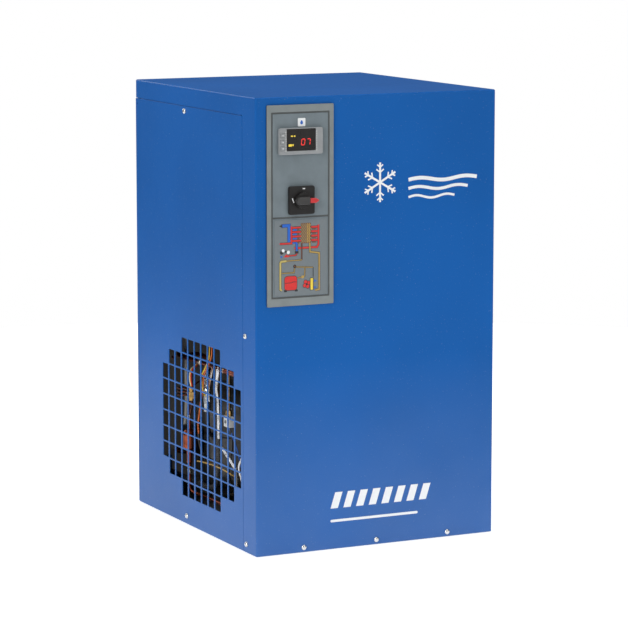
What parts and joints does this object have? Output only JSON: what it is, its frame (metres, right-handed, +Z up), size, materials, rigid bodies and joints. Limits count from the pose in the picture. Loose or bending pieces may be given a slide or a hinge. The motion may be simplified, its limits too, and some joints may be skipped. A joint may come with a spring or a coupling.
{
  "type": "refrigerated air dryer",
  "caption": "Upright sheet-metal cabinet holding a refrigeration circuit that cools and dries compressed air, with a front control panel, rotary main switch and pierced side grilles.",
  "frame": {"origin": "on the floor under the middle of the cabinet", "axes": "-Y is the front with the controls, +Y the back with the air ports, +X the viewer's right when facing the front, +Z up"},
  "size_m": [0.4634, 0.561, 0.784],
  "materials": {
    "cabinet_blue": "smooth satin powder coat, mid blue",
    "zinc": "zinc plated sheet",
    "screw_steel": "bright zinc plated pan head screws",
    "panel_grey": "fine textured grey board",
    "diagram": "printed grey label with a coloured flow diagram",
    "bezel_grey": "warm grey moulded plastic",
    "display": "smoked window with red digits",
    "switch_black": "black plate",
    "switch_dark": "dark grey knob",
    "signal_red": "red plastic",
    "grey_plastic": "grey moulded plastic",
    "black_paint": "semi-gloss black enamel",
    "copper": "bare copper with brazed joints",
    "brass": "turned brass",
    "aluminium": "mill finish",
    "steel": "machined steel",
    "foam": "closed-cell foam",
    "white_plastic": "white moulded plastic",
    "hose": "black flexible rubber tube"
  },
  "bodies": {
    "cabinet": {"front_top_cover": "cabinet_blue", "left_panel": "cabinet_blue", "right_panel": "cabinet_blue", "back_panel": "cabinet_blue", "base_pan": "zinc", "inner_frame": "zinc", "electric_box": "zinc", "fan_guard": "zinc", "front_screw_1": "screw_steel", "front_screw_2": "screw_steel", "front_screw_3": "screw_steel", "left_screw_1": "screw_steel", "left_screw_2": "screw_steel", "left_screw_3": "screw_steel", "left_screw_4": "screw_steel", "control_panel": "panel_grey", "flow_diagram_label": "diagram", "controller_housing": "bezel_grey", "display_lens": "display", "switch_plate": "switch_black", "compressor_terminal_cover": "switch_black", "drain_solenoid": "switch_black", "cable_gland": "switch_black", "switch_body": "grey_plastic", "terminal_block": "grey_plastic", "compressor_lower_shell": "black_paint", "compressor_upper_shell": "black_paint", "compressor_feet": "black_paint", "fan_shroud": "black_paint", "fan_motor": "black_paint", "condenser_tube": "copper", "discharge_line": "copper", "liquid_line": "copper", "hot_gas_line": "copper", "evaporator_inlet_line": "copper", "capillary_tube": "copper", "filter_dryer": "copper", "hot_gas_valve": "brass", "drain_valve_body": "brass", "drain_outlet_fitting": "brass", "condenser_fins": "aluminium", "heat_exchanger_core": "aluminium", "start_capacitor": "aluminium", "compressor_stator": "steel", "air_inlet_port": "steel", "air_outlet_port": "steel", "insulation_front": "foam", "insulation_rear": "foam", "suction_line": "foam", "pressure_switch": "white_plastic", "drain_hose": "hose"},
    "fan": {"fan_rotor": "switch_black"},
    "compressor_crank": {"compressor_rotor": "steel"},
    "main_switch": {"switch_handle": "switch_dark", "switch_pointer": "signal_red"},
    "set_key": {"key_set": "bezel_grey"},
    "up_key": {"key_up": "bezel_grey"},
    "down_key": {"key_down": "bezel_grey"},
    "reset_button": {"pressure_reset_button": "grey_plastic"},
    "drain_lever": {"drain_valve_lever": "signal_red"}
  },
  "joints": [
    {"name": "fan_spin", "type": "hinge", "parent": "cabinet", "child": "fan", "pos_m": [0.118, -0.027, 0.1937], "axis": [1, 0, 0], "continuous": true},
    {"name": "compressor_spin", "type": "hinge", "parent": "cabinet", "child": "compressor_crank", "pos_m": [-0.088, 0.118, 0.12], "axis": [0, 0, 1], "continuous": true},
    {"name": "switch_turn", "type": "hinge", "parent": "cabinet", "child": "main_switch", "pos_m": [-0.1475, -0.27, 0.6093], "axis": [0, -1, 0], "range_deg": [0, 90]},
    {"name": "set_key_press", "type": "slide", "parent": "cabinet", "child": "set_key", "axis": [0, 1, 0], "range_m": [0, 0.0008], "stiffness_N_per_m": 600},
    {"name": "up_key_press", "type": "slide", "parent": "cabinet", "child": "up_key", "axis": [0, 1, 0], "range_m": [0, 0.0008], "stiffness_N_per_m": 600},
    {"name": "down_key_press", "type": "slide", "parent": "cabinet", "child": "down_key", "axis": [0, 1, 0], "range_m": [0, 0.0008], "stiffness_N_per_m": 600},
    {"name": "reset_button_press", "type": "slide", "parent": "cabinet", "child": "reset_button", "axis": [1, 0, 0], "range_m": [0, 0.002], "stiffness_N_per_m": 400},
    {"name": "drain_lever_turn", "type": "hinge", "parent": "cabinet", "child": "drain_lever", "pos_m": [0, 0.104, 0.356], "axis": [0, -1, 0], "range_deg": [0, 90]}
  ]
}
